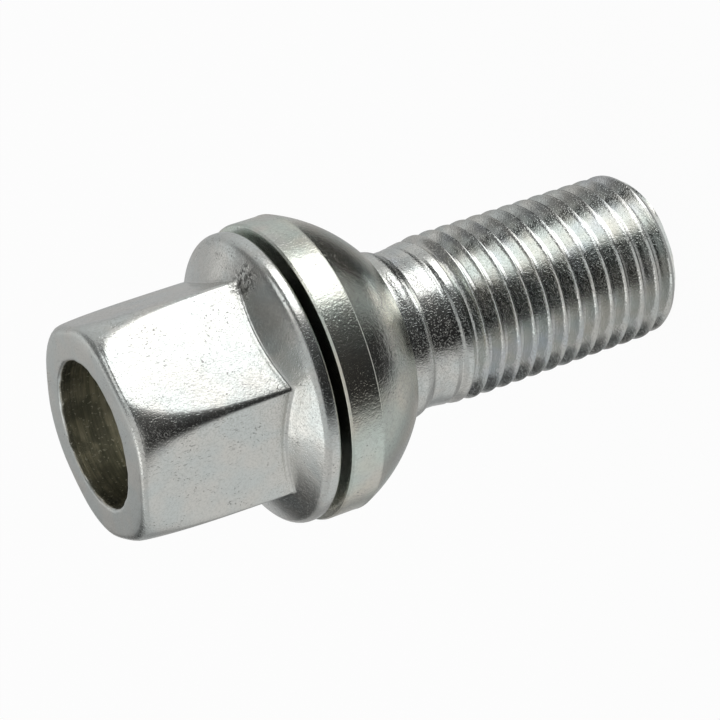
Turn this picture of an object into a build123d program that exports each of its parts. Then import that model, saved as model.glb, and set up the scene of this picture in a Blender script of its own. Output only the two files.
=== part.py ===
"""Wheel bolt with a loose ball-seat collar, in millimetres.

The bolt stands on the tip of its thread with its head up. Z is the bolt's axis, z = 0 is the tip, and
two of the hexagon's corners lie on the X axis. The bolt is one forged piece. The collar is a separate
turned ring, trapped on the shank between the flange and a ridge, and free to turn.
"""
import os
from math import atan2, cos, degrees, radians, sqrt, tan

from build123d import *

# Thread and blank: a metric thread, rolled on a blank of the pitch diameter
thread_d = 14.0
thread_pitch = 1.5
thread_angle = 60.0  # between the two flanks of a groove
thread_length = 20.2
first_groove = 0.654  # height of the lowest whole groove where it crosses +X
groove_overreach = 0.3  # by which the cut of a groove reaches past the crests
tip_chamfer_length = 1.1
tip_inset = 0.1  # the tip's face is smaller than the thread's root by this radius
runout_length = 1.7
neck_length = 1.6

# Ridge that keeps the collar on
ridge_catch = 0.2  # by which the ridge stands out past the collar's bore
ridge_length = 2.1
ridge_slope_length = 0.6  # from the ridge down to the neck

# Collar
bore_clearance = 0.28  # on the radius, around the shank
ball_radius = 13.0
band_inset = 0.85  # by which the band's radius is smaller than the ball's
band_height = 2.55
band_chamfer = 0.2
nose_wall = 1.5  # from the bore to the end of the ball surface
nose_round = 0.4
bore_nose_chamfer = 0.5
ridge_gap = 0.2  # between the collar and the ridge, along the axis
collar_gap = 0.6  # between the collar and the flange

# Head
head_height = 15.15  # from the flange's underside to the end of the head
hex_across_flats = 17.0
hex_corner_cut = 0.9  # taken off each corner's radius at the end of the head
hex_corner_run = 3.2  # length over which the corners sharpen quickly again
hex_corner_blunting = 0.3  # still taken off there
hex_foot_blunting = 0.15  # still taken off at the flange
head_edge_round = 0.55
recess_wall = 2.6  # between the recess and the hexagon's flats
recess_depth = 9.0
recess_point_angle = 120.0
recess_edge_break = 0.15
flange_inset = 0.35  # by which the flange's radius is smaller than the collar's band
flange_rim_height = 1.3
flange_slope = 28.0  # of the upper face, in degrees from level
flange_shoulder_round = 0.7
flange_under_round = 0.3
shank_root_round = 0.6
countersink_clearance = 0.3  # between the collar's rear bore edge and the shank's root

# Form of a rolled metric thread, as shares of its pitch
crest_width = 0.125
pitch_line_depth = 0.3248
root_depth = 0.6134

# Radii that follow from the sizes above
thread_r = thread_d / 2
blank_r = thread_r - pitch_line_depth * thread_pitch
root_r = thread_r - root_depth * thread_pitch
bore_r = blank_r + bore_clearance
ridge_r = bore_r + ridge_catch
band_r = ball_radius - band_inset
nose_r = bore_r + nose_wall
flat_r = hex_across_flats / 2
corner_r = flat_r / cos(radians(30))
recess_r = flat_r - recess_wall
flange_r = band_r - flange_inset

# Heights up the axis, each built on the one below
neck_bottom = thread_length + runout_length
neck_top = neck_bottom + neck_length
ridge_bottom = neck_top + ridge_slope_length
ridge_top = ridge_bottom + ridge_length
# The collar's nose chamfer and the ridge's upper slope both lie at 45 degrees
collar_nose = ridge_top + ridge_gap - (bore_r + bore_nose_chamfer - ridge_r)
ball_centre = collar_nose + sqrt(ball_radius**2 - nose_r**2)
band_bottom = ball_centre - sqrt(ball_radius**2 - band_r**2)
collar_rear = band_bottom + band_height + band_chamfer
flange_bottom = collar_rear + collar_gap
flange_shoulder = flange_bottom + flange_rim_height
head_end = flange_bottom + head_height


def turned(points):
    """A solid of revolution about Z from an outline of (radius, height) points."""
    outline = make_face(Polyline(*[(r, 0, z) for r, z in points], close=True))
    return revolve(outline, Axis.Z)


def edges_at(solid, radius, height):
    """The circular edges of a solid at a radius and a height on the axis."""
    circles = solid.edges().filter_by(GeomType.CIRCLE)
    return [
        edge
        for edge in circles
        if abs(edge.radius - radius) < 1e-4 and abs(edge.arc_center.Z - height) < 1e-4
    ]


def make_shaft():
    """The tip, the thread at its full diameter, the neck, the ridge and the shank."""
    return turned(
        [
            (0, 0),
            (root_r - tip_inset, 0),
            (thread_r, tip_chamfer_length),
            (thread_r, thread_length),
            (blank_r, neck_bottom),
            (blank_r, neck_top),
            (ridge_r, ridge_bottom),
            (ridge_r, ridge_top),
            (blank_r, ridge_top + ridge_r - blank_r),
            (blank_r, flange_bottom),
            (0, flange_bottom),
        ]
    )


def make_flange():
    """The round flange, whose sloping upper face runs on as a cone inside the hexagon."""
    cone_top = flange_shoulder + flange_r * tan(radians(flange_slope))
    flange = turned(
        [
            (0, flange_bottom),
            (flange_r, flange_bottom),
            (flange_r, flange_shoulder),
            (0, cone_top),
        ]
    )
    flange = fillet(edges_at(flange, flange_r, flange_shoulder), flange_shoulder_round)
    return fillet(edges_at(flange, flange_r, flange_bottom), flange_under_round)


def make_hexagon():
    """The hexagon, with corners that two slim cones blunt towards the end of the head."""
    height = head_end - flange_shoulder
    base = Location((0, 0, flange_shoulder))
    prism = extrude(RegularPolygon(corner_r, 6), height).moved(base)
    rounding = turned(
        [
            (0, flange_shoulder),
            (corner_r - hex_foot_blunting, flange_shoulder),
            (corner_r - hex_corner_blunting, head_end - hex_corner_run),
            (corner_r - hex_corner_cut, head_end),
            (0, head_end),
        ]
    )
    hexagon = prism & rounding
    return fillet(hexagon.faces().sort_by(Axis.Z)[-1].edges(), head_edge_round)


def make_recess():
    """The round pocket in the head, with a shallow pointed floor."""
    floor = head_end - recess_depth
    point_height = recess_r / tan(radians(recess_point_angle / 2))
    return turned(
        [
            (0, floor),
            (recess_r, floor + point_height),
            (recess_r, head_end - recess_edge_break),
            (recess_r + recess_edge_break, head_end),
            (0, head_end),
        ]
    )


def groove_half_width(radius):
    """Half the width of the thread's groove at a radius, from the crest's width and the flanks."""
    opening = (1 - crest_width) * thread_pitch
    return opening / 2 - (thread_r - radius) * tan(radians(thread_angle / 2))


def make_groove(path):
    """The thread's groove along a winding path that follows its root."""
    reach = thread_r + groove_overreach - root_r
    root_half = groove_half_width(root_r)
    open_half = groove_half_width(root_r + reach)
    section = make_face(
        Polyline(
            (0, -root_half),
            (0, root_half),
            (reach, open_half),
            (reach, -open_half),
            close=True,
        )
    )
    across = Plane(origin=path @ 0, x_dir=(1, 0, 0), z_dir=path % 0)
    return sweep(across * section, path=path, is_frenet=True)


def make_grooves():
    """Whole turns of the right-hand thread from below the tip, then one that climbs out at the neck."""
    start = first_groove - thread_pitch
    turns = int((thread_length - start) / thread_pitch)
    height = turns * thread_pitch
    climb = degrees(atan2(thread_r - root_r, thread_pitch))
    whole = Helix(thread_pitch, height, root_r, center=(0, 0, start))
    runout = Helix(thread_pitch, thread_pitch, root_r, center=(0, 0, start + height), cone_angle=climb)
    return [make_groove(whole), make_groove(runout)]


def make_bolt():
    """The forged bolt: shaft, flange and hexagon as one solid, less the recess and the thread's groove."""
    blank = make_shaft() + make_flange() + make_hexagon() - make_recess()
    bolt = fillet(edges_at(blank, blank_r, flange_bottom), shank_root_round)
    for groove in make_grooves():
        bolt = bolt - groove
    return bolt


def make_collar():
    """The loose ring: a plain band, then a ball surface that seats in the wheel."""
    countersink = shank_root_round + countersink_clearance
    side = Polyline(
        (nose_r, 0, collar_nose),
        (bore_r + bore_nose_chamfer, 0, collar_nose),
        (bore_r, 0, collar_nose + bore_nose_chamfer),
        (bore_r, 0, collar_rear - countersink),
        (bore_r + countersink, 0, collar_rear),
        (band_r - band_chamfer, 0, collar_rear),
        (band_r, 0, collar_rear - band_chamfer),
        (band_r, 0, band_bottom),
    )
    middle_r = (band_r + nose_r) / 2
    middle = ball_centre - sqrt(ball_radius**2 - middle_r**2)
    ball = ThreePointArc((band_r, 0, band_bottom), (middle_r, 0, middle), (nose_r, 0, collar_nose))
    collar = revolve(make_face(side + ball), Axis.Z)
    return fillet(edges_at(collar, nose_r, collar_nose), nose_round)


if __name__ == "__main__":
    os.makedirs("parts", exist_ok=True)
    for name, solid in (("bolt", make_bolt()), ("ball_seat_collar", make_collar())):
        export_step(solid, f"parts/{name}.step")
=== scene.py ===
# %% [markdown]
# # A wheel bolt with a loose ball-seat collar
# The object is a car's wheel bolt: a forged hexagon head with a round recess, a flange under it, a rolled
# thread, and a loose turned ring with a ball surface that centres the wheel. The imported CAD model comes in
# first, as a fixed frame in metres. Two pieces with finer detail will stand in for its two solids.

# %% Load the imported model
import math

import bmesh
import bpy
from mathutils import Matrix, Vector


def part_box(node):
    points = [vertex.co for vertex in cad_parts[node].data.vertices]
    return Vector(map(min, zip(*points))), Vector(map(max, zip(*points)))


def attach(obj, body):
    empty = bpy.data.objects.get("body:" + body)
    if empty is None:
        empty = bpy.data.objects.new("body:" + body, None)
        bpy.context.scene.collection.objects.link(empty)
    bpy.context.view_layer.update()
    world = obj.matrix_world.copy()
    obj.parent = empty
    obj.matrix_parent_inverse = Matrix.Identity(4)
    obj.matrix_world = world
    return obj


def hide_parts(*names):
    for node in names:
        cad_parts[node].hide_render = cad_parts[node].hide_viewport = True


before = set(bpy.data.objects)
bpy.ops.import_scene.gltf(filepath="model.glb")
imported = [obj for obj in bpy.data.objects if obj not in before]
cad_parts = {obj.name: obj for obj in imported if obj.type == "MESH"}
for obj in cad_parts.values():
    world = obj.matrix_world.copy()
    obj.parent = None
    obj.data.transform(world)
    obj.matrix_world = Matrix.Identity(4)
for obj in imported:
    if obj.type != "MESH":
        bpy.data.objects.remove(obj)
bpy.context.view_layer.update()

MM = 0.001
head_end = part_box("bolt")[1][2] / MM

# %% [markdown]
# ## Camera
# The bolt stands on the tip of its thread, because it would roll if it lay down. The picture shows it
# askew, with the head at the lower left, so the camera is rolled by more than a right angle about its own
# line of sight. Its place was found by fitting circles of the thread, the flange and the recess.
# An orbit (azimuth, elevation, roll and distance about an aim point) says this in numbers that can be
# read, which a pasted matrix would not.

# %% Place the camera
CAMERA_AIM = Vector((-1.099, 0.410, 26.901)) * MM
CAMERA_DISTANCE = 205.0 * MM
CAMERA_AZIMUTH = math.radians(-110.44)
CAMERA_ELEVATION = math.radians(24.6)
CAMERA_ROLL = math.radians(-108.9)


def direction(azimuth, elevation):
    """A unit vector that points to an azimuth and an elevation."""
    level = math.cos(elevation)
    return Vector((level * math.cos(azimuth), level * math.sin(azimuth), math.sin(elevation)))


outward = direction(CAMERA_AZIMUTH, CAMERA_ELEVATION)
camera = bpy.data.objects.new("camera", bpy.data.cameras.new("camera"))
camera.data.sensor_width = 36.0
camera.data.lens = 129.2
camera.data.clip_start = 0.01
turned_to_bolt = outward.to_track_quat("Z", "Y").to_matrix().to_4x4()
rolled = turned_to_bolt @ Matrix.Rotation(CAMERA_ROLL, 4, "Z")
camera.matrix_world = Matrix.Translation(CAMERA_AIM + CAMERA_DISTANCE * outward) @ rolled
bpy.context.collection.objects.link(camera)
bpy.context.scene.camera = camera
print("camera at", [round(v / MM, 1) for v in camera.matrix_world.translation], "mm")

# %% [markdown]
# ## Building from rings
# Every surface of the bolt and the collar goes round the axis, so each can be made as a stack of rings
# with the same number of points, with faces skinned between neighbours. A lathe modifier could turn the
# round parts, but not the hexagon. Rings can do both: a ring may be a circle or a hexagon with cut
# corners, and its columns can lie exactly on the edges, which keeps them crisp.

# %% Ring helpers
FLAT_COLUMNS = 28
CORNER_COLUMNS = 8
COLUMNS = 6 * (FLAT_COLUMNS + CORNER_COLUMNS)


def even_angle(column):
    """The angle of a column where the columns are evenly spread, as on the round parts."""
    return 2 * math.pi * (column + CORNER_COLUMNS / 2) / COLUMNS


def round_ring(radius, height):
    """A circle of points at a radius and height, as (radius, angle, height)."""
    return [(radius, even_angle(j), height) for j in range(COLUMNS)]


def arc(centre_r, centre_z, radius, start, end, steps):
    """Points (radius, height) of a rounded edge, from one angle to another in degrees."""
    angles = [math.radians(start + (end - start) * i / steps) for i in range(steps + 1)]
    return [(centre_r + radius * math.cos(a), centre_z + radius * math.sin(a)) for a in angles]


def skin(rings, pole=None, loop=False):
    """Vertices and faces between rings that run from the top of a piece down, outward side out."""
    points = [(r * math.cos(a) * MM, r * math.sin(a) * MM, z * MM) for ring in rings for r, a, z in ring]
    count = len(rings[0])
    faces = []
    for i in range(len(rings) if loop else len(rings) - 1):
        below = (i + 1) % len(rings)
        for j in range(count):
            beside = (j + 1) % count
            faces.append((i * count + j, below * count + j, below * count + beside, i * count + beside))
    if pole is not None:
        points.append((0, 0, pole * MM))
        faces += [(len(points) - 1, j, (j + 1) % count) for j in range(count)]
    return points, faces


def mesh_object(name, points, faces):
    """A new object at the origin, with its shape in its mesh."""
    mesh = bpy.data.meshes.new(name)
    mesh.from_pydata(points, [], faces)
    made = bpy.data.objects.new(name, mesh)
    bpy.context.collection.objects.link(made)
    return made


print(f"{COLUMNS} columns round the axis")

# %% [markdown]
# ## The forged head
# The head is forged: a hexagon of 17 mm across flats whose corners are rounded off, more and more towards
# the end, a round recess that saves weight, and a flange that spreads the load. A boolean of a prism and
# cones would give nearly the same form, but leaves thin triangles along the cut corners, which show in
# bright metal. Rings whose columns follow the edge between flat and corner stay even.

# %% Sizes of the head, in millimetres
FLAT_R = 8.5
FLAT_CROWN = 0.02
END_ROUND = 0.5
END_CROWN = 0.006
END_DOME = 0.15
CORNER_FOOT = 0.35
CORNER_END = 6.0
CORNER_RUN = 3.2


def corner_round(height):
    """The radius of the fillet along the corners at a height: larger towards the end of the head."""
    return CORNER_FOOT + CORNER_END * math.exp((height - head_end) / CORNER_RUN)


def hexagon_ring(flat, fillet, height):
    """A ring round the hexagon: six slightly crowned flats, joined by round corners."""
    edge_r = flat - FLAT_CROWN
    half = (edge_r - fillet) * math.tan(math.radians(30))
    centre = (edge_r - fillet) / math.cos(math.radians(30))
    ring = []
    for side in range(6):
        middle = math.radians(30 + 60 * side)
        for i in range(FLAT_COLUMNS + 1):
            share = 2 * i / FLAT_COLUMNS - 1
            across = half * share
            out = flat - FLAT_CROWN * share**2
            ring.append((math.hypot(out, across), middle + math.atan2(across, out), height))
        for i in range(1, CORNER_COLUMNS):
            lean = math.radians(60 * i / CORNER_COLUMNS - 30)
            out = centre + fillet * math.cos(lean)
            across = fillet * math.sin(lean)
            corner = middle + math.radians(30)
            ring.append((math.hypot(out, across), corner + math.atan2(across, out), height))
    return ring


for depth in (0.7, 2.8, 7.0):
    print(f"corner fillet {depth} mm from the end: {corner_round(head_end - depth):.2f} mm")

# %% [markdown]
# The recess is punched, and its rim is left slightly ragged. Its edge is broken by an amount that wanders
# with the angle, as a file or a tumbling drum would leave it. A sum of a few waves that fit whole times
# round the rim wanders enough and closes on itself.

# %% Recess, end face and rounded end of the hexagon
RECESS_R = 5.9
RECESS_DEPTH = 9.0
RECESS_POINT = 60.0
RIM_ROOM = 0.4
RIM_BREAK = 0.16
RIM_WANDER = 0.09
RIM_LEAST = 0.03
RIM_STEEPNESS = 1.3
RIM_WAVES = ((3, 0.4, 0.5), (7, 1.9, 0.3), (16, 4.4, 0.35), (29, 0.8, 0.25))


def rim_break(angle):
    """How far the rim of the recess is broken at an angle, in millimetres."""
    wander = sum(size * math.sin(times * angle + start) for times, start, size in RIM_WAVES)
    return max(RIM_LEAST, RIM_BREAK + RIM_WANDER * wander)


rings = []
recess_point = head_end - RECESS_DEPTH
wall_foot = recess_point + RECESS_R / math.tan(math.radians(RECESS_POINT))
for share in (0.15, 0.4, 0.7, 0.92, 1.0):
    rings.append(round_ring(RECESS_R * share, recess_point + (wall_foot - recess_point) * share))
wall_top = head_end - RIM_ROOM
for share in (0.04, 0.2, 0.4, 0.6, 0.8, 0.95, 1.0):
    rings.append(round_ring(RECESS_R, wall_foot + (wall_top - wall_foot) * share))
for turn in (0, 30, 60, 90):
    sink = 1 - math.sin(math.radians(turn))
    spread = 1 - math.cos(math.radians(turn))
    rings.append(
        [
            (RECESS_R + rim_break(a) * spread, a, head_end - RIM_STEEPNESS * rim_break(a) * sink)
            for a in (even_angle(j) for j in range(COLUMNS))
        ]
    )
inner = rings[-1]


def between(ring_a, ring_b, share):
    """A ring part of the way from one ring to another, straight across."""
    made = []
    for (r1, a1, z1), (r2, a2, z2) in zip(ring_a, ring_b):
        x = r1 * math.cos(a1) * (1 - share) + r2 * math.cos(a2) * share
        y = r1 * math.sin(a1) * (1 - share) + r2 * math.sin(a2) * share
        made.append((math.hypot(x, y), math.atan2(y, x), z1 * (1 - share) + z2 * share))
    return made


CROWN_FROM = RECESS_R + 0.2
DOME_FROM = 7.9


def end_fall(radius):
    """How far the crowned end of the head has fallen at a radius. It falls faster at the corners."""
    crown = END_CROWN * max(0.0, radius - CROWN_FROM) ** 2
    return crown + END_DOME * max(0.0, radius - DOME_FROM) ** 2


END_STEPS = 7
end_rows = []
for i in range(END_STEPS + 1):
    turn = math.pi / 2 * i / END_STEPS
    inset = END_ROUND * (1 - math.sin(turn))
    height = head_end - END_ROUND * (1 - math.cos(turn))
    row_ring = hexagon_ring(FLAT_R - inset, corner_round(height) - inset, height)
    end_rows.append([(r, a, z - end_fall(r)) for r, a, z in row_ring])
flat_edge = [(r, a, head_end) for r, a, z in end_rows[0]]
for share in (0.08, 0.3, 0.55, 0.8, 0.95):
    rings.append([(r, a, z - end_fall(r)) for r, a, z in between(inner, flat_edge, share)])
rings += end_rows
print(f"end of the head: {len(rings)} rings")

# %% [markdown]
# The flats stand on a sloping flange. The die has left a faint crease along their foot, and below it a
# small fillet. Where the slope meets a corner it is lower than in the middle of a flat, so the foot's
# height is worked out for every column.

# %% Flats, foot and flange
FLANGE_R = 11.8
FLANGE_BOTTOM = 34.838
SHOULDER = 36.138
SLOPE = 28.0
SHOULDER_ROUND = 0.9
UNDER_ROUND = 0.5
FOOT_ROUND = 0.35
CREASE_DEPTH = 0.035
CREASE_RUN = 0.35
SIDE_ROWS = 16
ROW_CROWDING = 1.4
FOOT_ABOVE_SHOULDER = 1.4
slope = math.radians(SLOPE)
outline = hexagon_ring(FLAT_R, corner_round(SHOULDER), 0)
foot = [SHOULDER + (FLANGE_R - r) * math.tan(slope) for r, a, z in outline]
foot_tangent = FOOT_ROUND / math.tan((math.pi / 2 + slope) / 2)
tops = [z for r, a, z in end_rows[-1]]
for row in range(1, SIDE_ROWS + 1):
    share = (row / SIDE_ROWS) ** ROW_CROWDING
    height = tops[0] + (SHOULDER + FOOT_ABOVE_SHOULDER - tops[0]) * share
    side = hexagon_ring(FLAT_R, corner_round(height), height)
    side_z = [top + (f + foot_tangent - top) * share for top, f in zip(tops, foot)]
    rings.append([(r, a, z + CREASE_RUN * share) for (r, a, level), z in zip(side, side_z)])
for run, depth in ((0.6, 0.45), (0.25, 0.95), (0.0, 1.0)):
    crease_z = [f + foot_tangent + CREASE_RUN * run for f in foot]
    rings.append([(r - CREASE_DEPTH * depth, a, z) for (r, a, level), z in zip(outline, crease_z)])
for r_off, z_off in arc(FOOT_ROUND, foot_tangent, FOOT_ROUND, 180, 270 - SLOPE, 5)[1:]:
    rings.append([(r - CREASE_DEPTH + r_off, a, f + z_off) for (r, a, z), f in zip(outline, foot)])
shoulder_centre = SHOULDER - SHOULDER_ROUND * math.tan((math.pi / 2 - slope) / 2)
shoulder = arc(FLANGE_R - SHOULDER_ROUND, shoulder_centre, SHOULDER_ROUND, 90 - SLOPE, 0, 8)
cone_start = rings[-1]
cone_end = round_ring(*shoulder[0])
for share in (0.2, 0.4, 0.6, 0.8):
    mixed = zip(cone_start, cone_end)
    rings.append([tuple(p + (q - p) * share for p, q in zip(start, end)) for start, end in mixed])
for r, z in shoulder:
    rings.append(round_ring(r, z))
for r, z in arc(FLANGE_R - UNDER_ROUND, FLANGE_BOTTOM + UNDER_ROUND, UNDER_ROUND, 0, -90, 5):
    rings.append(round_ring(r, z))
print(f"head and flange: {len(rings)} rings")

# %% [markdown]
# ## Shank, ridge and neck
# Below the flange the blank is as thick as the thread's pitch diameter. A ridge keeps the collar on. It is
# rolled up out of the blank after the collar is slipped over. The roller leaves a shallow groove round its
# middle, a rounded lower bead and a crisp corner where the bead meets the smooth neck. The rings stop where
# the thread will begin.

# %% Shank, ridge and neck
BLANK_R = 6.513
NECK_R = 6.55
RIDGE_R = 6.99
BEAD_R = 1.3
BEAD_Z = 24.45
THREAD_TOP = 22.6
ROOT_ROUND = 0.6
LIP_ROUND = 0.25
LIP_Z = 26.1
ROLLED_GROOVE = [(6.9, 25.8), (6.83, 25.6), (6.8, 25.42), (6.83, 25.2), (6.9, 24.95)]
for r, z in arc(BLANK_R + ROOT_ROUND, FLANGE_BOTTOM - ROOT_ROUND, ROOT_ROUND, 90, 180, 6):
    rings.append(round_ring(r, z))
shank = [(BLANK_R, 31.0), (BLANK_R, 27.5), (BLANK_R, 26.68), (6.76, 26.43)]
shank += arc(RIDGE_R - LIP_ROUND, LIP_Z, LIP_ROUND, 50, -20, 4)
shank += ROLLED_GROOVE
shank += arc(RIDGE_R - BEAD_R, BEAD_Z, BEAD_R, 14, -48, 12)
shank += [(NECK_R, 23.46), (NECK_R, 23.3), (NECK_R, 23.0), (NECK_R, THREAD_TOP)]
for r, z in shank:
    rings.append(round_ring(r, z))
head_points, head_faces = skin(rings, pole=recess_point)
bolt = mesh_object("wheel_bolt", head_points, head_faces)
print(f"head, flange, shank and neck: {len(head_faces)} faces, open where the thread begins")

# %% [markdown]
# ## The rolled thread
# The thread is a groove that winds round the shank, 14 mm across with a pitch of 1.5 mm, right-handed, with
# flanks 60 degrees apart as in the standard. It could be drawn as a profile swept along a spiral, but
# sweeps leave open ends. Here a node tree bends a flat grid round the shank instead. Its rows already wind
# with the thread, so every crest and root lies on a row of points, and the rows crowd together there. The
# tree also closes the tip and welds the thread to the head, so the bolt is one closed piece, as it is in
# steel. Rolling squeezes the metal up into two lips, which leaves a fine seam along the middle of a crest.

# %% Node helpers


def feed(tree, socket, value):
    """Links a socket to another socket's value, or sets it."""
    if isinstance(value, bpy.types.NodeSocket):
        tree.links.new(value, socket)
    else:
        socket.default_value = value


def node(tree, kind, inputs=None, **settings):
    """A new node with its settings, and its inputs set or linked by name or number."""
    made = tree.nodes.new(kind)
    for name, value in settings.items():
        setattr(made, name, value)
    for key, value in (inputs or {}).items():
        feed(tree, made.inputs[key], value)
    return made


def calc(tree, operation, *values):
    """One step of arithmetic."""
    return node(tree, "ShaderNodeMath", dict(enumerate(values)), operation=operation).outputs[0]


def product(tree, *values):
    """All the values multiplied together."""
    total = values[0]
    for value in values[1:]:
        total = calc(tree, "MULTIPLY", total, value)
    return total


def ease(tree, value, low, high, from_value, to_value, kind="SMOOTHSTEP"):
    """A value that eases from one number to another while its input goes from low to high."""
    inputs = {0: value, 1: low, 2: high, 3: from_value, 4: to_value}
    return node(tree, "ShaderNodeMapRange", inputs, interpolation_type=kind).outputs[0]


def xyz_of(tree, vector):
    """The three parts of a vector."""
    return node(tree, "ShaderNodeSeparateXYZ", {0: vector}).outputs


def vector_of(tree, *parts):
    """A vector from its three parts."""
    return node(tree, "ShaderNodeCombineXYZ", dict(enumerate(parts))).outputs[0]


# %% Thread tree: named sizes
thread_tree = bpy.data.node_groups.new("rolled_thread", "GeometryNodeTree")
face = thread_tree.interface
face.new_socket("Head", in_out="INPUT", socket_type="NodeSocketGeometry")
THREAD_SIZES = {
    "Pitch": 1.5 * MM,
    "First crest": 1.404 * MM,
    "Crest radius": 6.995 * MM,
    "Root radius": 6.08 * MM,
    "Crest width": 0.13 * MM,
    "Flank slope": math.tan(math.radians(60)),
    "Seam depth": 0.025 * MM,
    "Crest wear": 0.025 * MM,
    "Neck radius": NECK_R * MM,
    "Neck height": THREAD_TOP * MM,
    "Run-out low": 19.2 * MM,
    "Run-out high": 22.2 * MM,
    "Tip radius": 5.98 * MM,
    "Rounding length": 1.6 * MM,
    "Seed": 3.0,
}
thread_inputs = {}
for name, size in THREAD_SIZES.items():
    socket = face.new_socket(name, in_out="INPUT", socket_type="NodeSocketFloat")
    socket.default_value = size
    thread_inputs[name] = socket.identifier
finish_socket = face.new_socket("Finish", in_out="INPUT", socket_type="NodeSocketMaterial")
face.new_socket("Bolt", in_out="OUTPUT", socket_type="NodeSocketGeometry")
print("thread tree inputs:", ", ".join(THREAD_SIZES))

# %% Thread tree: rows that wind with the thread
ROWS_PER_PITCH = 16
PITCHES_BELOW = 2.0
PITCHES = 17
CROWDING = 0.6
t = thread_tree
size = node(t, "NodeGroupInput").outputs
grid_counts = {"Vertices X": COLUMNS + 1, "Vertices Y": PITCHES * ROWS_PER_PITCH + 1}
grid = node(t, "GeometryNodeMeshGrid", {"Size X": 1.0, "Size Y": 1.0, **grid_counts})
place = xyz_of(t, node(t, "GeometryNodeInputPosition").outputs[0])
turn = calc(t, "ADD", place["X"], 0.5)
angle = calc(t, "MULTIPLY", turn, 2 * math.pi)
row = calc(t, "MULTIPLY_ADD", calc(t, "ADD", place["Y"], 0.5), float(PITCHES), -PITCHES_BELOW)
wave = calc(t, "SINE", calc(t, "MULTIPLY", row, 4 * math.pi))
crowded = calc(t, "MULTIPLY_ADD", wave, -CROWDING / (4 * math.pi), row)
free_height = calc(t, "MULTIPLY_ADD", calc(t, "ADD", crowded, turn), size["Pitch"], size["First crest"])
height = calc(t, "MINIMUM", calc(t, "MAXIMUM", free_height, 0.0), size["Neck height"])
print(f"thread: {PITCHES * ROWS_PER_PITCH + 1} rows on {PITCHES} pitches, before they are cut to length")

# %% Thread tree: depth of the groove at each point
SOFT_CREST = 0.035 * MM
SOFT_ROOT = 0.16 * MM
LIP_WIDTHS = 2.2
WEAR_R = 7 * MM
WEAR_PER_METRE = 1300.0
turns_up = calc(t, "DIVIDE", calc(t, "SUBTRACT", height, size["First crest"]), size["Pitch"])
pitches = calc(t, "SUBTRACT", turns_up, turn)
from_crest = calc(t, "ABSOLUTE", calc(t, "SUBTRACT", pitches, calc(t, "ROUND", pitches)))
off_crest = calc(t, "MULTIPLY", from_crest, size["Pitch"])
half_crest = calc(t, "MULTIPLY", size["Crest width"], 0.5)
flank = calc(t, "MULTIPLY", calc(t, "SUBTRACT", off_crest, half_crest), size["Flank slope"])
deepest = calc(t, "SUBTRACT", size["Crest radius"], size["Root radius"])
cut = calc(t, "SMOOTH_MAX", flank, 0.0, SOFT_CREST)
groove = calc(t, "SMOOTH_MIN", cut, deepest, SOFT_ROOT)
on_crest = ease(t, off_crest, half_crest, calc(t, "MULTIPLY", half_crest, LIP_WIDTHS), 1.0, 0.0)
east = calc(t, "COSINE", angle)
north = calc(t, "SINE", angle)
spot_on_thread = vector_of(t, product(t, east, WEAR_R), product(t, north, WEAR_R), height)
wear_noise = node(
    t,
    "ShaderNodeTexNoise",
    {"Vector": spot_on_thread, "W": size["Seed"], "Scale": WEAR_PER_METRE, "Detail": 2.0},
    noise_dimensions="4D",
)
worn = ease(t, wear_noise.outputs[0], 0.5, 0.78, 0.0, size["Crest wear"])
seam = ease(t, off_crest, 0.0, half_crest, size["Seam depth"], 0.0)
groove = calc(t, "MULTIPLY_ADD", on_crest, worn, calc(t, "ADD", groove, seam))
print(f"thread tree: {len(t.nodes)} nodes give the depth of the groove")

# %% Thread tree: radius at each point
SOFT_RUN_OUT = 0.03 * MM
SOFT_TIP = 0.06 * MM
TIP_FULLNESS = 0.65
run_out = (size["Run-out low"], size["Run-out high"])
climb = ease(t, height, *run_out, 0.0, deepest, "LINEAR")
outer = ease(t, height, *run_out, size["Crest radius"], size["Neck radius"], "LINEAR")
climbing_groove = calc(t, "SMOOTH_MAX", calc(t, "SUBTRACT", groove, climb), 0.0, SOFT_RUN_OUT)
formed = ease(t, height, *run_out, 1.0, 0.0, "LINEAR")
threaded = calc(t, "SUBTRACT", outer, calc(t, "MULTIPLY", climbing_groove, formed))
widening = calc(t, "SUBTRACT", size["Crest radius"], size["Tip radius"])
from_end = calc(t, "SUBTRACT", 1.0, calc(t, "DIVIDE", height, size["Rounding length"]))
from_end = calc(t, "MAXIMUM", from_end, 0.0)
swelling = calc(t, "SUBTRACT", 1.0, calc(t, "MULTIPLY", from_end, from_end))
fullness = calc(t, "POWER", swelling, TIP_FULLNESS)
rounding = calc(t, "MULTIPLY_ADD", widening, fullness, size["Tip radius"])
radius = calc(t, "SMOOTH_MIN", threaded, rounding, SOFT_TIP)
bent_to = vector_of(t, calc(t, "MULTIPLY", radius, east), calc(t, "MULTIPLY", radius, north), height)
bent = node(t, "GeometryNodeSetPosition", {"Geometry": grid.outputs["Mesh"], "Position": bent_to})
print(f"thread tree: {len(t.nodes)} nodes bend the grid")

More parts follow.
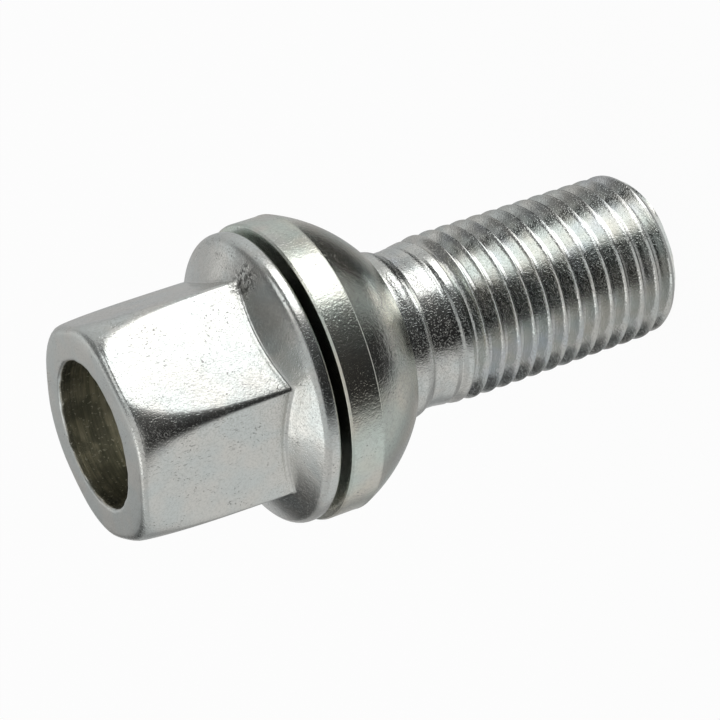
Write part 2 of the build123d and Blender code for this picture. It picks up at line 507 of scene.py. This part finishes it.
# %% Thread tree: close the tip and weld
WELD_REACH = 0.004 * MM
tip_sizes = {"Vertices": COLUMNS, "Radius": size["Tip radius"]}
tip = node(t, "GeometryNodeMeshCircle", tip_sizes, fill_type="NGON")
tip_down = node(t, "GeometryNodeFlipFaces", {"Mesh": tip.outputs["Mesh"]})
joined = node(t, "GeometryNodeJoinGeometry")
for part in (size["Head"], bent.outputs["Geometry"], tip_down.outputs["Mesh"]):
    t.links.new(part, joined.inputs[0])
weld_inputs = {"Geometry": joined.outputs[0], "Distance": WELD_REACH}
welded = node(t, "GeometryNodeMergeByDistance", weld_inputs)
real = node(t, "GeometryNodeRealizeInstances", {"Geometry": welded.outputs[0]})
finished = node(t, "GeometryNodeSetMaterial", {"Geometry": real.outputs[0], "Material": size["Finish"]})
node(t, "NodeGroupOutput", {"Bolt": finished.outputs[0]})
print(f"thread tree: {len(t.nodes)} nodes, {len(t.links)} links")

# %% [markdown]
# ## Zinc on forged steel
# The bolt is plated with bright zinc over a forged surface. It is metal with a fine grain, small dark pits
# in clusters and thin scratches. The head is the dullest part, and the thread, which rolling has polished,
# is the brightest. The ridge is rough. The recess is painted darker, as shade, and its light flecks are
# painted glints. All of this follows from where a point lies on the bolt, so one material with Object
# coordinates can carry every zone. Heights of the grain are given in millimetres, so that they can be
# compared with the real thing.

# %% Finish helpers


def new_finish(name):
    """An empty metal material: its tree, its main shader and the piece's own coordinates."""
    finish = bpy.data.materials.new(name)
    finish.use_nodes = True
    tree = finish.node_tree
    shader = tree.nodes["Principled BSDF"]
    shader.inputs["Metallic"].default_value = 1.0
    spot = node(tree, "ShaderNodeTexCoord").outputs["Object"]
    return finish, tree, shader, spot


def noise(tree, spot, per_metre, detail=2.0, roughness=0.55):
    """Soft random values from 0 to 1, with this many ups and downs to the metre."""
    inputs = {"Vector": spot, "Scale": per_metre, "Detail": detail, "Roughness": roughness}
    return node(tree, "ShaderNodeTexNoise", inputs).outputs["Fac"]


def mix(tree, share, first, second):
    """A colour between two colours."""
    made = node(tree, "ShaderNodeMix", data_type="RGBA")
    feed(tree, made.inputs["Factor"], share)
    for socket, colour in zip([s for s in made.inputs if s.type == "RGBA"], (first, second)):
        feed(tree, socket, colour if isinstance(colour, bpy.types.NodeSocket) else (*colour, 1.0))
    return [s for s in made.outputs if s.type == "RGBA"][0]


CLUSTER_GAIN = 0.14
PIT_RIM = 0.76
PIT_FLOOR = 0.83


def pits(tree, spot, per_metre, cluster_per_metre):
    """Ragged specks, 1 inside a pit and 0 outside, that keep together in clusters."""
    cluster = ease(tree, noise(tree, spot, cluster_per_metre), 0.45, 0.62, 0.0, CLUSTER_GAIN)
    peaks = calc(tree, "ADD", noise(tree, spot, per_metre, 2.0), cluster)
    return ease(tree, peaks, PIT_RIM, PIT_FLOOR, 0.0, 1.0)


SCRATCH_EDGE = 0.06


def scratches(tree, spot, turn_by, fine, long, level):
    """Thin marks: noise that is stretched along one direction and cut off near its top."""
    stretch = {"Vector": spot, "Rotation": turn_by, "Scale": (fine, fine, long)}
    value = noise(tree, node(tree, "ShaderNodeMapping", stretch).outputs[0], 1.0, 1.0)
    return ease(tree, value, level, level + SCRATCH_EDGE, 0.0, 1.0)


# %% Forged zinc: where the zones are
forged, ft, shader, spot = new_finish("forged_zinc")
xyz = xyz_of(ft, spot)
across = calc(ft, "MULTIPLY_ADD", xyz[0], xyz[0], calc(ft, "MULTIPLY", xyz[1], xyz[1]))
axis_distance = calc(ft, "SQRT", across)
up = xyz[2]


def band(low, high, soft):
    """1 between two heights in millimetres and 0 beyond them, with soft ends."""
    rise = ease(ft, up, (low - soft) * MM, (low + soft) * MM, 0.0, 1.0)
    return calc(ft, "MULTIPLY", rise, ease(ft, up, (high - soft) * MM, (high + soft) * MM, 1.0, 0.0))


on_head = ease(ft, up, 35.0 * MM, 35.6 * MM, 0.0, 1.0)
on_flats = ease(ft, up, 38.0 * MM, 39.0 * MM, 0.0, 1.0)
on_end = ease(ft, up, (head_end - 0.2) * MM, (head_end - 0.03) * MM, 0.0, 1.0)
on_edge = band(head_end - 0.5, head_end - 0.12, 0.08)
on_ridge = band(23.6, 26.6, 0.15)
below_ridge = ease(ft, up, 23.2 * MM, 23.6 * MM, 1.0, 0.0)
inside = ease(ft, axis_distance, (RECESS_R + 0.01) * MM, (RECESS_R + 0.06) * MM, 1.0, 0.0)
in_recess = calc(ft, "MULTIPLY", inside, on_flats)
# A rough spot at the foot of a corner: its grain and dullness are its own, and its dark colour is painted
# shade
SHADED_CORNER_SPOT = Vector((4.4, -9.1, 37.0)) * MM
from_shaded_corner = node(ft, "ShaderNodeVectorMath", {0: spot, 1: SHADED_CORNER_SPOT}, operation="DISTANCE")
at_shaded_corner = ease(ft, from_shaded_corner.outputs["Value"], 0.6 * MM, 2.0 * MM, 1.0, 0.0)
print(f"forged zinc: {len(ft.nodes)} nodes place the zones")

# %% Forged zinc: grain, pits and scratches
GRAIN_PER_METRE = 5800.0
FINE_PER_METRE = 11000.0
DENTS_PER_METRE = 7600.0
PITS_PER_METRE = 5200.0
CLOUDS_PER_METRE = 420.0
STREAK_STRETCH = (300.0, 300.0, 5200.0)
grain = noise(ft, spot, GRAIN_PER_METRE, 1.0)
fine_grain = noise(ft, spot, FINE_PER_METRE, 1.0)
cloud = noise(ft, spot, CLOUDS_PER_METRE, 2.0)
pit = pits(ft, spot, PITS_PER_METRE, CLOUDS_PER_METRE)
dent = ease(ft, noise(ft, spot, DENTS_PER_METRE, 0.0), 0.6, 0.7, 0.0, 1.0)
marked = ease(ft, noise(ft, spot, 210.0), 0.46, 0.62, 0.0, 1.0)
SCRATCH_WAYS = ((0.0, 0.5, 0.0), (0.9, -0.35, 0.2), (1.2, 0.4, 2.1))
SCRATCH_FINE = 6000.0
SCRATCH_LONG = 1300.0
SCRATCH_LEVEL = 0.7
marks = 0.0
for way in SCRATCH_WAYS:
    one_way = scratches(ft, spot, way, SCRATCH_FINE, SCRATCH_LONG, SCRATCH_LEVEL)
    marks = calc(ft, "MAXIMUM", one_way, marks)
marks = product(ft, marks, marked, on_head)
rough_painted_shade = product(ft, at_shaded_corner, ease(ft, noise(ft, spot, 2100.0, 3.0, 0.7), 0.42, 0.58, 0.0, 1.0))
streak_spot = node(ft, "ShaderNodeMapping", {"Vector": spot, "Scale": STREAK_STRETCH}).outputs[0]
streaks = noise(ft, streak_spot, 1.0, 3.0)
# Light flecks in the recess are painted glints
painted_glint_flecks = product(ft, in_recess, ease(ft, noise(ft, spot, 4200.0, 1.0), 0.64, 0.7, 0.0, 1.0))
print(f"forged zinc: {len(SCRATCH_WAYS)} ways of scratches, {len(ft.nodes)} nodes so far")

# %% Forged zinc: colour
COOL_ZINC = (0.60, 0.632, 0.615)
WARM_ZINC = (0.648, 0.645, 0.61)
BLUE_ZINC = (0.55, 0.595, 0.665)
GRAIN_SHADE = (0.44, 0.455, 0.43)
PIT_SHADE = (0.15, 0.15, 0.14)
MARK_SHADE = (0.24, 0.24, 0.23)
PAINTED_CORNER_SHADE = (0.09, 0.09, 0.085)
# Recess colours: a dark painted shade, darker painted clouds of shade, and pale turning lines of its own
PAINTED_RECESS_SHADE = (0.32, 0.32, 0.25)
RECESS_LINE_PALE = (0.70, 0.66, 0.54)
PAINTED_RECESS_CLOUD = (0.15, 0.155, 0.125)
# The colour of the painted glints in the recess
PAINTED_GLINT_FLECK = (0.86, 0.84, 0.76)
tint = noise(ft, spot, 330.0, 2.0)
zinc = mix(ft, ease(ft, tint, 0.35, 0.65, 0.0, 1.0), COOL_ZINC, WARM_ZINC)
blue = ease(ft, noise(ft, spot, 230.0, 2.0), 0.52, 0.72, 0.0, 0.4)
zinc = mix(ft, calc(ft, "MULTIPLY", blue, below_ridge), zinc, BLUE_ZINC)
zinc = mix(ft, ease(ft, grain, 0.4, 0.75, 0.0, 0.35), zinc, GRAIN_SHADE)
zinc = mix(ft, product(ft, pit, on_head, 0.7), zinc, PIT_SHADE)
zinc = mix(ft, calc(ft, "MULTIPLY", marks, 0.45), zinc, MARK_SHADE)
# The rough spot at the corner is painted nearly black, as shade
zinc = mix(ft, calc(ft, "MULTIPLY", rough_painted_shade, 0.9), zinc, PAINTED_CORNER_SHADE)
# The recess is painted darker, as shade; the turning lines across it are its own
recess_shade_and_lines = mix(ft, ease(ft, streaks, 0.3, 0.7, 0.0, 1.0), PAINTED_RECESS_SHADE, RECESS_LINE_PALE)
recess_shade_and_lines = mix(ft, ease(ft, cloud, 0.42, 0.6, 0.0, 0.7), recess_shade_and_lines, PAINTED_RECESS_CLOUD)
zinc = mix(ft, calc(ft, "MULTIPLY", in_recess, 0.92), zinc, recess_shade_and_lines)
zinc = mix(ft, calc(ft, "MULTIPLY", painted_glint_flecks, 0.8), zinc, PAINTED_GLINT_FLECK)
feed(ft, shader.inputs["Base Color"], zinc)
print(f"forged zinc: {len(ft.nodes)} nodes with the colour")

# %% Forged zinc: gloss
LEAST_DULL = 0.1
GRAIN_DULL = 0.12
dull = calc(ft, "MULTIPLY_ADD", grain, GRAIN_DULL, LEAST_DULL)
duller = ((on_head, 0.05), (on_end, 0.12), (in_recess, 0.12), (rough_painted_shade, 0.2), (below_ridge, -0.05))
for zone, more in duller:
    dull = calc(ft, "MULTIPLY_ADD", zone, more, dull)
feed(ft, shader.inputs["Roughness"], dull)
print(f"forged zinc: {len(duller)} zones differ in gloss")

# %% Forged zinc: relief, with heights in millimetres
GRAIN_HEIGHT = 0.0125
FINE_HEIGHT = 0.006
CLOUD_HEIGHT = 0.05
PIT_HEIGHT = -0.010
DENT_HEIGHT = -0.007
MARK_HEIGHT = -0.006
coarse = 1.0
for zone, more in ((on_head, -0.55), (on_edge, 1.2), (on_ridge, 0.5), (at_shaded_corner, 2.5)):
    coarse = calc(ft, "MULTIPLY_ADD", zone, more, coarse)
relief = calc(ft, "MULTIPLY_ADD", grain, GRAIN_HEIGHT, calc(ft, "MULTIPLY", fine_grain, FINE_HEIGHT))
relief = calc(ft, "MULTIPLY", relief, coarse)
dented = calc(ft, "MULTIPLY", dent, ease(ft, up, 27.0 * MM, 34.0 * MM, 1.7, 0.8))
flaws = ((cloud, CLOUD_HEIGHT), (pit, PIT_HEIGHT), (dented, DENT_HEIGHT), (marks, MARK_HEIGHT))
for flaw, flaw_height in flaws:
    relief = calc(ft, "MULTIPLY_ADD", flaw, flaw_height, relief)
bump = node(ft, "ShaderNodeBump", {"Strength": 1.0, "Distance": MM, "Height": relief})
feed(ft, shader.inputs["Normal"], bump.outputs[0])
print(f"forged zinc: {len(ft.nodes)} nodes in all")

# %% [markdown]
# The thread tree now runs once, as a modifier on the head, and its result becomes a plain mesh. The mesh is
# then checked: it has to be closed, with every face turned outwards.

# %% Roll the thread and weld it on
thread = bolt.modifiers.new("rolled_thread", "NODES")
thread.node_group = thread_tree
for name, size_value in THREAD_SIZES.items():
    thread[thread_inputs[name]] = size_value
thread[finish_socket.identifier] = forged
bpy.context.view_layer.update()
whole = bpy.data.meshes.new_from_object(bolt.evaluated_get(bpy.context.evaluated_depsgraph_get()))
bolt.modifiers.clear()
bolt.data = whole


def settle(piece, sharp_degrees):
    """Points all faces outwards, shades them smoothly and keeps edges sharper than an angle crisp."""
    shape = bmesh.new()
    shape.from_mesh(piece.data)
    bmesh.ops.dissolve_degenerate(shape, dist=1e-7, edges=shape.edges)
    bmesh.ops.recalc_face_normals(shape, faces=shape.faces)
    loose = sum(not e.is_manifold for e in shape.edges)
    volume = shape.calc_volume(signed=True)
    triangles = sum(len(f.verts) - 2 for f in shape.faces)
    shape.to_mesh(piece.data)
    shape.free()
    piece.data.shade_smooth()
    piece.data.set_sharp_from_angle(angle=math.radians(sharp_degrees))
    print(f"{piece.name}: {triangles} triangles, {loose} open edges, {volume / MM**3:.0f} mm3")


settle(bolt, sharp_degrees=42)

# %% [markdown]
# ## The turned collar
# The collar is a steel ring turned on a lathe: a plain band with a slightly bevelled rear edge, then part
# of a ball of 13 mm radius that sits in the wheel's dished hole. Band and ball meet in a crisp edge, where
# the tool has thrown up a burr a few hundredths of a millimetre high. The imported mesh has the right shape
# but shows facets in bright metal, so the same outline is turned here with more steps.

# %% Collar
collar_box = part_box("ball_seat_collar")
nose = collar_box[0][2] / MM
rear = collar_box[1][2] / MM
BALL_R = 13.0
BAND_R = min(collar_box[1][0], collar_box[1][1]) / MM
BORE_R = 6.793
NOSE_R = 8.293
NOSE_ROUND = 0.4
BORE_CHAMFER = 0.5
REAR_CHAMFER = 0.2
COUNTERSINK = 0.9
EDGE_ROUND = 0.06
BURR = 0.03
ball_centre = nose + math.sqrt(BALL_R**2 - NOSE_R**2)
band_low = ball_centre - math.sqrt(BALL_R**2 - BAND_R**2)
band_turn = math.degrees(math.atan2(band_low - ball_centre, BAND_R))
# The nose is a small round that touches the ball from inside and the nose's face from above
inner_r = math.sqrt((BALL_R - NOSE_ROUND) ** 2 - (ball_centre - nose - NOSE_ROUND) ** 2)
nose_turn = math.degrees(math.atan2(nose + NOSE_ROUND - ball_centre, inner_r))
profile = [(BORE_R + COUNTERSINK, rear), (BAND_R - 1.0, rear)]
profile += arc(BAND_R - REAR_CHAMFER, rear - EDGE_ROUND, EDGE_ROUND, 90, 45, 2)
profile += arc(BAND_R - BURR - EDGE_ROUND, rear - REAR_CHAMFER, EDGE_ROUND, 45, 0, 2)
turned_r = BAND_R - BURR
profile += [(turned_r, rear - 0.9), (turned_r, rear - 1.8), (turned_r, band_low + 0.3)]
profile += [(turned_r, band_low + 2.4 * BURR), (BAND_R, band_low + 0.8 * BURR), (BAND_R, band_low)]
profile += arc(0, ball_centre, BALL_R, band_turn - 0.3, nose_turn, 24)
profile += arc(inner_r, nose + NOSE_ROUND, NOSE_ROUND, nose_turn, -90, 6)[1:]
profile += [(BORE_R + BORE_CHAMFER, nose), (BORE_R, nose + BORE_CHAMFER), (BORE_R, nose + 4.0)]
profile += [(BORE_R, rear - COUNTERSINK)]
collar_points, collar_faces = skin([round_ring(r, z) for r, z in profile], loop=True)
collar = mesh_object("ball_seat_ring", collar_points, collar_faces)
settle(collar, sharp_degrees=14)

# %% [markdown]
# ## Zinc on turned steel
# The ring has the same plating on a finer surface. The lathe leaves rings too fine to count, and the
# plating shows faint green, yellow and rose tints, as thin clear films do. The rings are noise that is
# squeezed flat along the axis. A plain wave would run all the way round at the same strength, which no
# lathe tool does.

# %% Turned zinc: colour
GREEN_FILM = (0.57, 0.64, 0.59)
YELLOW_FILM = (0.67, 0.645, 0.56)
ROSE_FILM = (0.65, 0.585, 0.59)
FILM_GRAIN = (0.45, 0.46, 0.44)
FILM_PIT = (0.2, 0.2, 0.19)
turned, tt, ring_shader, ring_spot = new_finish("turned_zinc")
ring_grain = noise(tt, ring_spot, 3500.0, 1.0)
ring_fine = noise(tt, ring_spot, 8000.0, 1.0)
ring_tint = noise(tt, ring_spot, 210.0, 2.0)
moved = node(tt, "ShaderNodeMapping", {"Vector": ring_spot, "Location": (0.3, 0.1, 0.7)}).outputs[0]
ring_tint_2 = noise(tt, moved, 160.0, 2.0)
LATHE_STRETCH = (120.0, 120.0, 9000.0)
flat_spot = node(tt, "ShaderNodeMapping", {"Vector": ring_spot, "Scale": LATHE_STRETCH}).outputs[0]
lathe = noise(tt, flat_spot, 1.0, 2.0)
ring_pit = pits(tt, ring_spot, 5600.0, 500.0)
ring_dent = ease(tt, noise(tt, ring_spot, 6500.0, 0.0), 0.6, 0.72, 0.0, 1.0)
film = mix(tt, ease(tt, ring_tint, 0.3, 0.7, 0.0, 1.0), GREEN_FILM, YELLOW_FILM)
film = mix(tt, ease(tt, ring_tint_2, 0.5, 0.75, 0.0, 0.6), film, ROSE_FILM)
film = mix(tt, ease(tt, ring_grain, 0.4, 0.75, 0.0, 0.35), film, FILM_GRAIN)
film = mix(tt, calc(tt, "MULTIPLY", ring_pit, 0.6), film, FILM_PIT)
feed(tt, ring_shader.inputs["Base Color"], film)
print(f"turned zinc: {len(tt.nodes)} nodes with the colour")

# %% Turned zinc: gloss and relief, with heights in millimetres
LATHE_DULL = 0.08
LATHE_HEIGHT = 0.004
RING_GRAIN_HEIGHT = 0.016
ring_dull = calc(tt, "MULTIPLY_ADD", ring_grain, GRAIN_DULL, LEAST_DULL)
feed(tt, ring_shader.inputs["Roughness"], calc(tt, "MULTIPLY_ADD", lathe, LATHE_DULL, ring_dull))
ring_relief = calc(tt, "MULTIPLY", ring_grain, RING_GRAIN_HEIGHT)
ring_relief = calc(tt, "MULTIPLY_ADD", lathe, LATHE_HEIGHT, ring_relief)
for flaw, flaw_height in ((ring_fine, 0.007), (ring_pit, -0.008), (ring_dent, -0.006)):
    ring_relief = calc(tt, "MULTIPLY_ADD", flaw, flaw_height, ring_relief)
ring_bump = node(tt, "ShaderNodeBump", {"Strength": 1.0, "Distance": MM, "Height": ring_relief})
feed(tt, ring_shader.inputs["Normal"], ring_bump.outputs[0])
collar.data.materials.append(turned)
print(f"turned zinc: {len(tt.nodes)} nodes")

# %% [markdown]
# ## Floor and studio
# Bright metal shows the room more than its own colour, so the room is half of the picture. The floor is
# plain and pale. Round the bolt lie glowing panels and dark cards, as a photographer would lay them, to
# give the metal something light and something dark to mirror. Close to the bolt they have levels of their
# own, and one narrow strip stands upright beside the thread. The camera doesn't see the cards, and they
# cast no light or shadow of their own.

# %% Floor
FLOOR_HALF = 3.0
PAPER_SHADE = (0.88, 0.88, 0.88, 1.0)
PAPER_GLOW = 0.95
floor_corners = [(x * FLOOR_HALF, y * FLOOR_HALF, 0) for x, y in ((-1, -1), (1, -1), (1, 1), (-1, 1))]
floor = mesh_object("floor", floor_corners, [(0, 1, 2, 3)])
paper = bpy.data.materials.new("white_paper")
paper.use_nodes = True
pt = paper.node_tree
pt.nodes.clear()
light_path = node(pt, "ShaderNodeLightPath").outputs
seen = calc(pt, "MAXIMUM", light_path["Is Camera Ray"], light_path["Is Glossy Ray"])
seen = calc(pt, "MAXIMUM", seen, light_path["Is Transmission Ray"])
lit = node(pt, "ShaderNodeBsdfDiffuse", {"Color": PAPER_SHADE}).outputs[0]
white = node(pt, "ShaderNodeEmission", {"Color": (1.0, 1.0, 1.0, 1.0), "Strength": 1.0}).outputs[0]
glow_share = calc(pt, "MULTIPLY", seen, PAPER_GLOW)
paper_mix = node(pt, "ShaderNodeMixShader", {0: glow_share, 1: lit, 2: white})
node(pt, "ShaderNodeOutputMaterial", {"Surface": paper_mix.outputs[0]})
floor.data.materials.append(paper)
print("floor", 2 * FLOOR_HALF, "m wide")

# %% Cards round the bolt
CARD_TOP = 2.8
CARD_STOPS = (
    (0.000, 0.62), (0.060, 0.50), (0.125, 0.30), (0.170, 0.66), (0.300, 0.78), (0.345, 0.62),
    (0.385, 0.10), (0.410, 0.02), (0.480, 0.04), (0.545, 0.10), (0.585, 0.30), (0.609, 2.2),
    (0.630, 2.2), (0.650, 2.8), (0.690, 2.8), (0.720, 0.85), (0.760, 0.55), (0.800, 0.72), (0.900, 0.5),
)
NEAR_STOPS = (
    (0.000, 0.45), (0.167, 0.33), (0.264, 0.60), (0.333, 0.55), (0.375, 0.30), (0.400, 0.03),
    (0.510, 0.03), (0.556, 0.20), (0.611, 0.35), (0.675, 0.25), (0.700, 0.03), (0.806, 0.05),
    (0.850, 0.30), (0.944, 0.45),
)


def share_at(turn):
    """The share of a whole turn, from 0 to 1, at a number of degrees from the camera's side."""
    return 0.5 + turn / 360


def share_round(tree, vector):
    """The direction round the bolt, from 0 to 1, with 0.5 on the camera's side."""
    part = xyz_of(tree, vector)
    bearing = calc(tree, "SUBTRACT", calc(tree, "ARCTAN2", part[1], part[0]), CAMERA_AZIMUTH)
    return calc(tree, "FRACT", calc(tree, "MULTIPLY_ADD", bearing, 0.5 / math.pi, 0.5))


def levels(tree, share, card_stops):
    """How bright the cards are in a direction round the bolt."""
    ramp = node(tree, "ShaderNodeValToRGB", {0: share})
    stops = ramp.color_ramp.elements
    stops.remove(stops[-1])
    for i, (place_of_stop, level) in enumerate(card_stops):
        stop = stops[0] if i == 0 else stops.new(place_of_stop)
        stop.position = place_of_stop
        stop.color = (*[level / CARD_TOP] * 3, 1.0)
    return calc(tree, "MULTIPLY", ramp.outputs[0], CARD_TOP)


def blend(tree, share, first, second):
    """A value part of the way from one value to another."""
    return calc(tree, "MULTIPLY_ADD", share, calc(tree, "SUBTRACT", second, first), first)


def glowing(name):
    """An empty material for a card, with its tree and the card's own coordinates."""
    glow = bpy.data.materials.new(name)
    glow.use_nodes = True
    glow.node_tree.nodes.clear()
    return glow, glow.node_tree, node(glow.node_tree, "ShaderNodeTexCoord").outputs["Object"]


def light_up(tree, level):
    """Makes a card glow at a level."""
    light = node(tree, "ShaderNodeEmission", {"Strength": level})
    node(tree, "ShaderNodeOutputMaterial", {"Surface": light.outputs[0]})


floor_glow, gt, card_spot = glowing("floor_card_light")
card_xyz = xyz_of(gt, card_spot)
card_across = calc(gt, "MULTIPLY", card_xyz[1], card_xyz[1])
card_r = calc(gt, "SQRT", calc(gt, "MULTIPLY_ADD", card_xyz[0], card_xyz[0], card_across))
card_share = share_round(gt, card_spot)
UNDERFOOT = 0.45
is_near = ease(gt, card_r, 11 * MM, 15 * MM, 0.0, 1.0)
is_far = ease(gt, card_r, 40 * MM, 50 * MM, 0.0, 1.0)
near_level = blend(gt, is_near, UNDERFOOT, levels(gt, card_share, NEAR_STOPS))
light_up(gt, blend(gt, is_far, near_level, levels(gt, card_share, CARD_STOPS)))
CARD_HEIGHT = 0.2
card_rings = [round_ring(r, CARD_HEIGHT) for r in (2900.0, 50.0, 40.0, 6.3)]
floor_cards = mesh_object("floor_cards", *skin(card_rings))
print(f"cards: {len(CARD_STOPS)} levels far out, {len(NEAR_STOPS)} close to the bolt")

# %% Upright strip beside the thread
STRIP_R = 10.5
STRIP_TOP = 18.5
STRIP_FROM = 8
STRIP_TO = 72
STRIP_LEVEL = 2.4
strip_glow, st, strip_spot = glowing("strip_light")
strip_share = share_round(st, strip_spot)
fade_in = ease(st, strip_share, share_at(12), share_at(30), 0.08, STRIP_LEVEL)
fade_out = ease(st, strip_share, share_at(46), share_at(66), 1.0, 0.04)
light_up(st, calc(st, "MULTIPLY", fade_in, fade_out))
strip_points = []
for turn in range(STRIP_FROM, STRIP_TO + 1, 4):
    upright = STRIP_R * direction(CAMERA_AZIMUTH + math.radians(turn), 0.0)
    for strip_z in (CARD_HEIGHT, STRIP_TOP):
        strip_points.append(MM * (upright + Vector((0, 0, strip_z))))
strip_faces = [(i, i + 1, i + 3, i + 2) for i in range(0, len(strip_points) - 2, 2)]
strip = mesh_object("thread_strip", strip_points, strip_faces)
for card, glow in ((floor_cards, floor_glow), (strip, strip_glow)):
    card.data.materials.append(glow)
    card.visible_camera = False
    card.visible_diffuse = False
    card.visible_shadow = False
print(f"strip: {len(strip_faces)} panels, {STRIP_TOP} mm high")

# %% [markdown]
# Above the cards the room goes on as a wall and a ceiling of soft light. Some patches of it are brighter,
# as a panel would be, and some are darker. They lie where the end of the head, the flange and the foot of
# a flat mirror them. One weak round lamp high up gives the floor its soft shadow.

# %% World
SKY_LEVEL = 0.64
WALL_TOP_LEVEL = 0.6
DARK_PATCH = (-158, 25, 28, 10, 1.0, 0.15)
world = bpy.data.worlds.new("studio")
bpy.context.scene.world = world
world.use_nodes = True
wt = world.node_tree
looking = node(wt, "ShaderNodeTexCoord").outputs["Generated"]


def toward(azimuth, elevation, wide, narrow, from_value, to_value):
    """A value that changes near one direction, given in degrees from the camera's azimuth."""
    middle = direction(CAMERA_AZIMUTH + math.radians(azimuth), math.radians(elevation))
    near = node(wt, "ShaderNodeVectorMath", {0: looking, 1: middle}, operation="DOT_PRODUCT")
    limits = [math.cos(math.radians(a)) for a in (wide, narrow)]
    return ease(wt, near.outputs["Value"], *limits, from_value, to_value)


sky_level = calc(wt, "MULTIPLY", toward(95, 45, 45, 22, 1.0, 0.3), SKY_LEVEL)
sky_level = calc(wt, "MULTIPLY", sky_level, toward(*DARK_PATCH))
sky_level = calc(wt, "ADD", sky_level, toward(60, 38, 18, 9, 0.0, 1.1))
sky_level = calc(wt, "ADD", sky_level, toward(165, 25, 28, 10, 0.0, 0.3))
above = ease(wt, xyz_of(wt, looking)[2], 0.25, 0.55, 0.0, 1.0)
wall_share = share_round(wt, looking)
wall_level = calc(wt, "MINIMUM", levels(wt, wall_share, CARD_STOPS), WALL_TOP_LEVEL)
wall_level = calc(wt, "MULTIPLY", wall_level, toward(*DARK_PATCH))
dark_wall = calc(wt, "ABSOLUTE", calc(wt, "SUBTRACT", wall_share, share_at(52)))
wall_level = calc(wt, "MULTIPLY", wall_level, ease(wt, dark_wall, 20 / 360, 34 / 360, 0.2, 1.0))
feed(wt, wt.nodes["Background"].inputs["Strength"], blend(wt, above, wall_level, sky_level))
wt.nodes["Background"].inputs["Color"].default_value = (1.0, 1.0, 1.0, 1.0)
print(f"world: {len(wt.nodes)} nodes")

# %% Lamp
LAMP_AWAY = 0.7
LAMP_TURN = 112
LAMP_UP = 70
lamp = bpy.data.objects.new("softbox", bpy.data.lights.new("softbox", "AREA"))
lamp.data.shape = "DISK"
lamp.data.size = 0.35
lamp.data.energy = 0.26
lamp.location = LAMP_AWAY * direction(CAMERA_AZIMUTH - math.radians(LAMP_TURN), math.radians(LAMP_UP))
lamp.rotation_euler = (Vector((0, 0, 0.02)) - lamp.location).to_track_quat("-Z", "Y").to_euler()
bpy.context.collection.objects.link(lamp)
bpy.context.scene.view_settings.view_transform = "Standard"
print("lamp at", [round(v, 2) for v in lamp.location], "m")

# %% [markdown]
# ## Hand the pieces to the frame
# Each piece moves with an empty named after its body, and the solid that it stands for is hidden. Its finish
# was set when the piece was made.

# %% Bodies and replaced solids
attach(bolt, "bolt")
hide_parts("bolt")
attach(collar, "collar")
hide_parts("ball_seat_collar")
